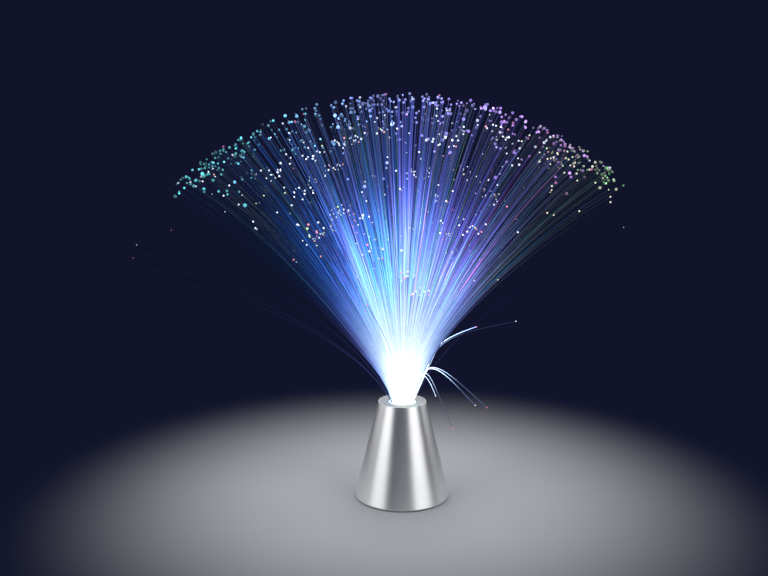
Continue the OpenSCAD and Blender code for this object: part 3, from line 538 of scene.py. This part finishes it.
def grow(spot, share, brightness, loose=0.0, pull=lock_pull):
    """One fibre of the fan, from its spot in the bundle, a disc of radius 1. share None leaves its
    length to its lock, and loose is how far it strays from the others."""
    lock = int(np.argmin(np.linalg.norm(lock_middles - spot, axis=1)))
    toward = (1 - pull) * spot + pull * lock_middles[lock]
    azimuth = math.atan2(toward[1], toward[0])
    most = np.linalg.norm(toward) * (fan_lean + fan_skew * math.cos(azimuth)) * (1 + 0.02 * loose)
    turning = bend_at + bend_skew * math.cos(azimuth)

    def lean_at(s):
        t = s / fibre_len
        return most * (lean_first + lean_bent * (1 - np.exp(-((t / turning) ** 1.5))) + lean_sag * t * t)

    if share is None:
        level = scatter(lock, level_step)
        on_top = scatter(lock, tier_step) < dome_locks
        share = 1 - 0.05 * level if on_top else short_share + (dome_share - short_share) * level
        share += 0.03 * (scatter(len(fibres), ragged_step) - 0.5)
        if loose and share > dome_share:
            share = 1 - 0.035 * chance.random()
    share = min(share, 1.0)
    swing = math.radians(1.5 * loose)
    points, s = traced(bundle_r * spot, azimuth, lean_at, fibre_len * share, fan_steps, swing)
    fibres.append({"points": points, "s": s, "azimuth": azimuth, "kind": "fan", "share": share,
                   "brightness": brightness * lock_light[lock], "hue": lock_hue[lock]})


for i in range(fibre_count):
    own = scatter(i, own_step) < own_lengths
    share = short_share + (1 - short_share) * scatter(i, own_length_step) if own else None
    grow(disc_point(i, fibre_count), share, math.exp(chance.gauss(0, 0.25)))

# More fibres between them, a little inside the bundle's edge. A pick below full_length makes one of
# nearly the full length, and a pick from there up to any_length makes one of any length.
extra_count, extra_reach, full_length, any_length = 860, 0.97, 0.46, 0.54
for i in range(extra_count):
    pick = chance.random()
    depth, pull = extra_reach, lock_pull
    if pick < full_length:
        # These lie nearer to the middle plane, for the dome's even outline from front and back
        share = 1 - 0.02 * chance.random() ** 2
        depth, pull = 0.55 + 0.42 * scatter(i, depth_step), 0.0
    elif pick < any_length:
        share, pull = short_share + 0.45 * chance.random(), 0.0
    else:
        share = None
    spot = np.array([extra_reach, depth]) * disc_point(i, extra_count, 0.9)
    brightness = math.exp(chance.gauss(0, 0.3))
    grow(spot, share, brightness, chance.gauss(0, 1), pull)

# Strays that have sprung loose at the bundle's edge follow the fan and then bend over: azimuth, first
# and last lean, length, straight part and length of the bend as shares of fibre_len, then brightness
# and the share of its length where the light gives out
for azimuth, first, final, share, straight, bend, brightness, lit in (
        (-15, 23, 76, 0.478, 0.183, 0.064, 1.2, 0.5), (-9, 21, 72, 0.35, 0.175, 0.06, 4.0, 1.0),
        (-28, 23, 131, 0.335, 0.12, 0.032, 4.5, 0.62), (-20, 21, 129, 0.367, 0.116, 0.034, 3.6, 0.52),
        (-42, 22, 152, 0.2, 0.104, 0.02, 3.0, 1.0), (-35, 21, 152, 0.327, 0.112, 0.016, 2.6, 0.5),
        (22, 24, 146, 0.263, 0.12, 0.036, 0.12, 0.5), (182, 33, 70, 0.972, 0.04, 0.24, 0.14, 0.6),
        (196, 32, 64, 0.98, 0.04, 0.24, 0.14, 0.6), (168, 30, 64, 0.948, 0.04, 0.24, 0.14, 0.6),
        (118, 38, 74, 0.817, 0.04, 0.24, 0.3, 0.6), (262, 34, 66, 0.857, 0.04, 0.24, 1.3, 1.0),
        (8, 30, 64, 0.916, 0.08, 0.28, 0.14, 0.6)):
    a, rise, fall = math.radians(azimuth), straight * fibre_len, bend * fibre_len
    points, s = traced(stray_r * np.array([math.cos(a), math.sin(a)]), a,
                       lambda s: final - (final - first) * np.exp(-np.maximum(s - rise, 0) / fall),
                       share * fibre_len, stray_steps)
    fibres.append({"points": points, "s": s, "azimuth": a, "kind": "stray", "brightness": brightness,
                   "lit": lit})

# Tints that multiply the light: azure on the left, violet on the right, then a grey dusk and a dark
# olive at the far right. A few fibres carry teal, leaf green or coral instead.
plain, azure = np.array([1.0, 1.0, 1.0]), np.array([0.27, 0.97, 1.02])
violet, dusk = np.array([1.05, 0.74, 1.0]), np.array([0.62, 0.62, 0.46])
olive, teal = np.array([1.1, 1.15, 0.4]), np.array([0.45, 1.7, 0.85])
leaf, coral = np.array([0.9, 2.4, 0.5]), np.array([2.4, 0.55, 0.55])
side_hues = [(-0.8, azure * 0.9), (-0.3, azure), (0.0, plain), (0.4, violet), (0.62, dusk), (0.95, olive)]
# Half the fan's width, at which side is 1, and the length over which the light turns dark, in mm
half_width, light_len = 190, 260


def between(places, x):
    """The colour at x, from a list of (x, colour) in order."""
    xs = [p[0] for p in places]
    return np.array([np.interp(x, xs, [p[1][c] for p in places]) for c in range(3)])


for fibre in fibres:
    s, end = fibre["s"], fibre["points"][-1]
    side = end[0] / half_width
    fibre["side"] = side
    if fibre["kind"] == "stray":
        left_over = 1 - 0.93 * ease(0.75 * fibre["lit"], 1.3 * fibre["lit"], s / s[-1])
        fibre["tint"] = plain * (fibre["brightness"] * left_over)[:, None]
        # The dim strays start in the deeper blue
        ahead = 55 if fibre["brightness"] > 0.9 else 150
        fibre["along"] = np.clip((s * 0.8 + ahead) / light_len, 0, 1)
        continue
    hue = between(side_hues, side + 0.16 * fibre["hue"] + chance.gauss(0, 0.06))
    pick = chance.random()
    if pick < 0.07:
        hue = teal
    elif pick < 0.12:
        hue = leaf if pick < 0.105 or side < 0 else coral
    # The fibres that lean out most catch less light, and turn blue sooner, most of all on the left
    rim = min(abs(end[0]) / (half_width * fibre["share"] ** 1.3), 1.0)
    dim = math.exp(-((rim / 0.8) ** 6)) * math.exp(-((abs(end[1]) / 300) ** 2))
    # Near the collar all are white and much alike, and further up each has its own hue and brightness
    late = ease(55, 140, s)
    own_light = fibre["brightness"] ** (0.1 + 0.9 * late)
    root_glow = 1.15 + 0.9 * np.exp(-((s / 50) ** 2))
    power = root_glow * (1 + 0.25 * ease(60, 110, s)) * own_light * dim ** ease(0, 75, s)
    # All give less and less towards their ends, where only a haze is left between the beads
    power *= 1 - (0.45 + 0.38 * rim) * ease(145, 210, s)
    power = np.maximum(power, 0.14 * ease(0, 60, s))
    fibre["tint"] = ((1 - late)[:, None] * plain + late[:, None] * hue) * power[:, None]
    ahead = (120 if side < 0 else 90) * rim ** 2.6
    fibre["along"] = np.clip((s * (1 + 0.35 * rim) + ahead) / light_len, 0, 1)


def tubes(name, members, sides, radius, material):
    """One mesh of closed tubes, each with its own column in the map that the light is drawn on."""
    column_fill, margin, cap_half = 0.92, 0.01, 0.004
    points, faces, tint, along, corners = [], [], [], [], []
    for column, fibre in enumerate(members):
        path = fibre["points"] * MM
        start = len(points)
        across = np.array([-math.sin(fibre["azimuth"]), math.cos(fibre["azimuth"]), 0.0])
        heading = np.gradient(path, axis=0)
        heading /= np.linalg.norm(heading, axis=1)[:, None]
        outwards = np.cross(across, heading)
        outwards /= np.linalg.norm(outwards, axis=1)[:, None]
        for k in range(len(path)):
            for q in range(sides):
                a = 2 * math.pi * q / sides
                points.append(path[k] + radius * MM * (math.cos(a) * across + math.sin(a) * outwards[k]))
                tint.append(fibre["tint"][k])
                along.append(fibre["along"][k])
        left, width = column / len(members), column_fill / len(members)
        rows = len(path) - 1
        for k in range(rows):
            for q in range(sides):
                n = (q + 1) % sides
                faces.append((start + k * sides + q, start + k * sides + n,
                              start + (k + 1) * sides + n, start + (k + 1) * sides + q))
                low_v, high_v = (margin + (1 - 2 * margin) * (k + step) / rows for step in (0, 1))
                corners += [(left, low_v), (left + width, low_v), (left + width, high_v), (left, high_v)]
        for base, turn in ((start, -1), (start + rows * sides, 1)):
            faces.append(tuple(base + q for q in range(sides))[::turn])
            v = margin if turn < 0 else 1 - margin
            low_v, high_v = v - cap_half, v + cap_half
            cap = [(left, low_v), (left + width, low_v), (left + width, high_v), (left, high_v)]
            corners += cap[:sides]
    return lit_mesh(name, points, faces, tint, along, corners, material)


def lit_mesh(name, points, faces, tint, along, corners, material):
    """A piece of the wand that carries its own light: a tint and a place along the fibre per point."""
    mesh = bpy.data.meshes.new(name)
    mesh.from_pydata([tuple(p) for p in points], [], faces)
    mesh.materials.append(material)
    colour = mesh.attributes.new("tint", "FLOAT_COLOR", "POINT")
    with_alpha = np.concatenate([np.array(tint), np.ones((len(tint), 1))], 1)
    colour.data.foreach_set("color", with_alpha.ravel())
    mesh.attributes.new("along", "FLOAT", "POINT").data.foreach_set("value", np.array(along, np.float32))
    layer = mesh.uv_layers.new(name="OFBake")
    layer.data.foreach_set("uv", np.array(corners, np.float32).ravel())
    mesh.polygons.foreach_set("use_smooth", [True] * len(faces))
    piece = bpy.data.objects.new(name, mesh)
    bpy.context.scene.collection.objects.link(piece)
    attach(piece, "fibre_wand")
    return piece


# Drawn acrylic is smooth. What it reflects is weak beside the light that leaks out of it
lit_fibre, tree, shader, place = new_finish(
    "lit_acrylic_fibre", Base_Color=linear("#060a18"), Roughness=0.2, IOR=1.49,
    Specular_IOR_Level=0.08, Emission_Strength=1.0)
distance = add(tree, "ShaderNodeAttribute", attribute_name="along")
leak = add(tree, "ShaderNodeAttribute", attribute_name="tint")
hues = add(tree, "ShaderNodeValToRGB", {"Fac": distance.outputs["Fac"]})
stops = ((0.0, "#ffffff"), (0.15, "#f2fff6"), (0.22, "#dcf6ec"), (0.31, "#c6deff"), (0.42, "#a4c2ff"),
         (0.52, "#8aa8fa"), (0.62, "#7688f2"), (0.71, "#6069d2"), (0.80, "#4650a4"), (1.0, "#323c7c"))
while len(hues.color_ramp.elements) < len(stops):
    hues.color_ramp.elements.new(0.5)
for element, (position, code) in zip(hues.color_ramp.elements, stops):
    element.position, element.color = position, linear(code)
# Fine flaws in the drawn acrylic make the leak uneven over 6 mm
flaws = add(tree, "ShaderNodeTexNoise", {"Vector": place, "Scale": 1 / (6 * MM), "Detail": 2.0})
uneven = add(tree, "ShaderNodeMapRange", {"Value": flaws.outputs["Fac"], "To Min": 0.75, "To Max": 1.25})
light = add(tree, "ShaderNodeMix", {"Factor": 1.0, 6: hues.outputs["Color"], 7: leak.outputs["Color"]},
            data_type="RGBA", blend_type="MULTIPLY")
light = add(tree, "ShaderNodeVectorMath", {0: light.outputs[2], "Scale": uneven.outputs[0]},
            operation="SCALE")
tree.links.new(light.outputs[0], shader.inputs["Emission Color"])
lit_fibre.cycles.emission_sampling = "NONE"

# Four pieces, so that each fibre has room enough on its piece's map
pieces, tube_sides = 4, 4
per_piece = math.ceil(len(fibres) / pieces)
for part in range(pieces):
    members = fibres[part * per_piece : (part + 1) * per_piece]
    spray = tubes(f"fibres_{part + 1}", members, tube_sides, fibre_r, lit_fibre)
    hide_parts("fibre_spray")

# ---------------------------------------------------------------- fibre ends
# Each fibre is cut with a hot knife, which leaves a small round bead that shines brighter than the
# fibre. Beads on the dome take the colour of their side, and those below it are nearly white.

hot_cut_end, tree, shader, place = new_finish(
    "hot_cut_fibre_end", Base_Color=linear("#101420"), Roughness=0.15, IOR=1.49,
    Specular_IOR_Level=0.2, Emission_Strength=1.0)
leak = add(tree, "ShaderNodeAttribute", attribute_name="tint")
# The melted skin is uneven over 0.5 mm
melt = add(tree, "ShaderNodeTexNoise", {"Vector": place, "Scale": 1 / (0.5 * MM), "Detail": 1.0})
uneven = add(tree, "ShaderNodeMapRange", {"Value": melt.outputs["Fac"], "To Min": 0.8, "To Max": 1.2})
light = add(tree, "ShaderNodeVectorMath", {0: leak.outputs["Color"], "Scale": uneven.outputs[0]},
            operation="SCALE")
tree.links.new(light.outputs[0], shader.inputs["Emission Color"])
hot_cut_end.cycles.emission_sampling = "NONE"

work = bmesh.new()
bmesh.ops.create_icosphere(work, subdivisions=2, radius=1.0)
bead_points = np.array([v.co for v in work.verts])
bead_faces = [tuple(v.index for v in face.verts) for face in work.faces]
work.free()

# Colours on the dome by side: teal, blue, violet, purple, and then olive and green
rim_colours = [(-1.0, np.array([0.04, 0.24, 0.27])), (-0.7, np.array([0.06, 0.36, 0.42])),
               (-0.4, np.array([0.10, 0.31, 0.56])), (-0.15, np.array([0.19, 0.28, 0.80])),
               (0.2, np.array([0.30, 0.28, 0.90])), (0.42, np.array([0.40, 0.22, 0.85])),
               (0.62, np.array([0.38, 0.20, 0.58])), (0.74, np.array([0.26, 0.28, 0.20])),
               (1.0, np.array([0.03, 0.40, 0.13]))]
ice, warm_white = np.array([0.9, 1.0, 1.3]), np.array([1.0, 0.9, 0.7])
rose, ruby = np.array([0.46, 0.14, 0.34]), np.array([0.9, 0.2, 0.3])
salmon, lime = np.array([1.15, 0.42, 0.5]), np.array([0.8, 1.1, 0.55])
# Bead radii in mm: on the dome, below it, and on the strays
dome_bead, low_bead, stray_bead = 0.88, 0.6, 0.5
points, faces, tint, corners = [], [], [], []
grid = math.ceil(math.sqrt(len(fibres)))
for index, fibre in enumerate(fibres):
    end, side = fibre["points"][-1], fibre["side"]
    # Three in five of those that lean far to the front are nearly white as well, but not at the sides
    coloured = end[1] > -70 or abs(side) > 0.8 or index % 5 < 2
    on_dome = fibre["kind"] == "fan" and fibre["share"] > dome_share and coloured
    pick = chance.random()
    if on_dome:
        colour = between(rim_colours, side + chance.gauss(0, 0.06)) * math.exp(chance.gauss(0.0, 0.6))
        if pick < 0.03:
            colour = rose
        elif pick < 0.1:
            colour = ice * 0.7
        size = dome_bead * math.exp(chance.gauss(0, 0.17))
    elif fibre["kind"] == "stray":
        colour = (ice if index % 2 else ruby) * min(fibre["brightness"] + 0.2, 1.0)
        size = stray_bead
    else:
        # The lower tiers have more salmon and lime
        low_tier = 1 - ease(150, 235, fibre["s"][-1])
        colour = ice * 1.25 * math.exp(chance.gauss(0, 0.25))
        if pick < 0.06 + 0.22 * low_tier:
            colour = salmon
        elif pick < 0.12 + 0.34 * low_tier + 0.2 * max(side, 0):
            colour = lime
        elif side > 0.45:
            colour = warm_white
        size = low_bead * math.exp(chance.gauss(0, 0.15))
    heading = fibre["points"][-1] - fibre["points"][-2]
    heading /= np.linalg.norm(heading)
    start = len(points)
    points += list((end + heading * size * 0.4 + bead_points * size) * MM)
    tint += [colour] * len(bead_points)
    cell = np.array([index % grid, index // grid]) / grid
    for face in bead_faces:
        faces.append(tuple(start + v for v in face))
        corners += [tuple(cell + np.array(c) / grid) for c in ((0.1, 0.1), (0.9, 0.1), (0.5, 0.9))]
lit_mesh("fibre_ends", points, faces, tint, [0.0] * len(points), corners, hot_cut_end)

# ---------------------------------------------------------------- potted foot of the bundle
# The lower ends are set in clear epoxy and polished flat over the LEDs, so the slice glows as a whole.

clear_epoxy, tree, shader, place = new_finish(
    "clear_epoxy", Roughness=0.1, IOR=1.55, Emission_Strength=1.0)
# The fibres show as a pattern of cells 0.55 mm across
packing = add(tree, "ShaderNodeTexVoronoi", {"Vector": place, "Scale": 1 / (0.55 * MM)})
glow = add(tree, "ShaderNodeMix", {"Factor": packing.outputs["Distance"], 6: linear("#ffffff"),
                                   7: linear("#a9bce8")}, data_type="RGBA")
tree.links.new(glow.outputs[2], shader.inputs["Base Color"])
tree.links.new(glow.outputs[2], shader.inputs["Emission Color"])
# It fills the sleeve, creeps up its wall a little and is level in the middle
potting_r, potting_edge, creep_r, creep_middle, level_r = 9.75, 0.15, 0.75, 9.0, 8.6
z_level = z_root + 0.2
potting = lathe("bundle_potting", [
    (0, z_sleeve), (potting_r - potting_edge, z_sleeve), (potting_r, z_sleeve + potting_edge),
    (potting_r, z_root - 0.1), *arc(creep_middle, z_root + 0.6, creep_r, -20, 60, 3),
    (level_r, z_level), (0, z_level)], 128, clear_epoxy)
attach(potting, "fibre_wand")

# ---------------------------------------------------------------- set, light and camera
# A plain pale floor round the lamp, which ends softly in front of a plain dark blue ground, so that
# the lit fibres stand against the dark. Tall soft boxes in a ring make the bands on the cone.

backdrop_blue = linear("#11142b")
floor_paint, tree, shader, place = new_finish("floor_paint", Base_Color=linear("#a6a7ab"), Roughness=0.9,
                                              Specular_IOR_Level=0.1)
# Distances from the lamp's middle in metres, between which the floor turns into the ground
fade_from, fade_to = 0.04, 0.34
reach = add(tree, "ShaderNodeVectorMath", {0: place}, operation="LENGTH")
fade = add(tree, "ShaderNodeMapRange", {"Value": reach.outputs["Value"], "From Min": fade_from,
                                        "From Max": fade_to}, interpolation_type="SMOOTHERSTEP")
ground = add(tree, "ShaderNodeEmission", {"Color": backdrop_blue, "Strength": 1.0})
both = add(tree, "ShaderNodeMixShader", {0: fade.outputs[0], 1: shader.outputs[0], 2: ground.outputs[0]})
surface = next(n for n in tree.nodes if n.type == "OUTPUT_MATERIAL")
tree.links.new(both.outputs[0], surface.inputs["Surface"])
floor_r = 6
bpy.ops.mesh.primitive_circle_add(vertices=128, radius=floor_r, fill_type="TRIFAN", location=(0, 0, 0))
floor = bpy.context.object
floor.name = "floor"
floor.data.materials.append(floor_paint)

world = bpy.data.worlds.new("studio")
bpy.context.scene.world = world
world.use_nodes = True
tree = world.node_tree
tree.nodes.clear()
# The camera, metal and clear plastic see the dark ground, and all else gets a plain white fill
ray = add(tree, "ShaderNodeLightPath")
seen = add(tree, "ShaderNodeMath", {0: ray.outputs["Is Camera Ray"], 1: ray.outputs["Is Glossy Ray"]},
           operation="MAXIMUM")
seen = add(tree, "ShaderNodeMath", {0: seen.outputs[0], 1: ray.outputs["Is Transmission Ray"]},
           operation="MAXIMUM")
backdrop = add(tree, "ShaderNodeBackground", {"Color": backdrop_blue, "Strength": 1.0})
fill = add(tree, "ShaderNodeBackground", {"Color": linear("#ffffff"), "Strength": 0.5})
both = add(tree, "ShaderNodeMixShader", {0: seen.outputs[0], 1: fill.outputs[0], 2: backdrop.outputs[0]})
add(tree, "ShaderNodeOutputWorld", {"Surface": both.outputs[0]})

# Bearing from the camera's side in degrees, distance, height of the centre, width, height (all in
# metres), and brightness. The last one hangs over the lamp and faces down.
for bearing, away, centre_z, width, height, bright in (
        (-63, 1.0, 0.62, 0.72, 1.3, 1.7),
        (50, 1.0, 0.62, 0.78, 1.3, 1.75),
        (-115, 1.1, 0.65, 1.0, 1.3, 0.85),
        (118, 1.1, 0.65, 1.0, 1.3, 0.8),
        (-165, 1.2, 0.65, 0.6, 1.3, 1.8),
        (165, 1.2, 0.65, 0.6, 1.3, 1.8),
        (0, 1.3, 0.62, 0.9, 1.2, 0.02),
        (0, 1.25, 0.08, 0.9, 0.16, 0.45),
        (180, 0.0, 1.4, 1.0, 1.0, 0.5)):
    lamp = bpy.data.lights.new("soft_box", "AREA")
    lamp.shape, lamp.size, lamp.size_y = "RECTANGLE", width, height
    lamp.energy = bright * math.pi * width * height
    box = bpy.data.objects.new("soft_box", lamp)
    bpy.context.scene.collection.objects.link(box)
    turn = math.radians(bearing - 90)
    box.location = (away * math.cos(turn), away * math.sin(turn), centre_z)
    facing = Vector((0, 0, centre_z)) - box.location if away else Vector((0, 0, -1))
    box.rotation_euler = facing.to_track_quat("-Z", "Y").to_euler()
    box.visible_camera = False

# The camera is fitted to the foot's ellipse, the collar and the fan's height in the photograph
lens_mm, sensor_mm, looks_down = 46.9, 36, 10.8
lens = bpy.data.cameras.new("camera")
lens.lens, lens.sensor_width, lens.clip_start = lens_mm, sensor_mm, 0.01
camera = bpy.data.objects.new("camera", lens)
bpy.context.scene.collection.objects.link(camera)
camera.location = (-0.0152, -0.80, 0.33)
camera.rotation_euler = (math.radians(90 - looks_down), 0, 0)
bpy.context.scene.camera = camera
bpy.context.scene.view_settings.view_transform = "Standard"
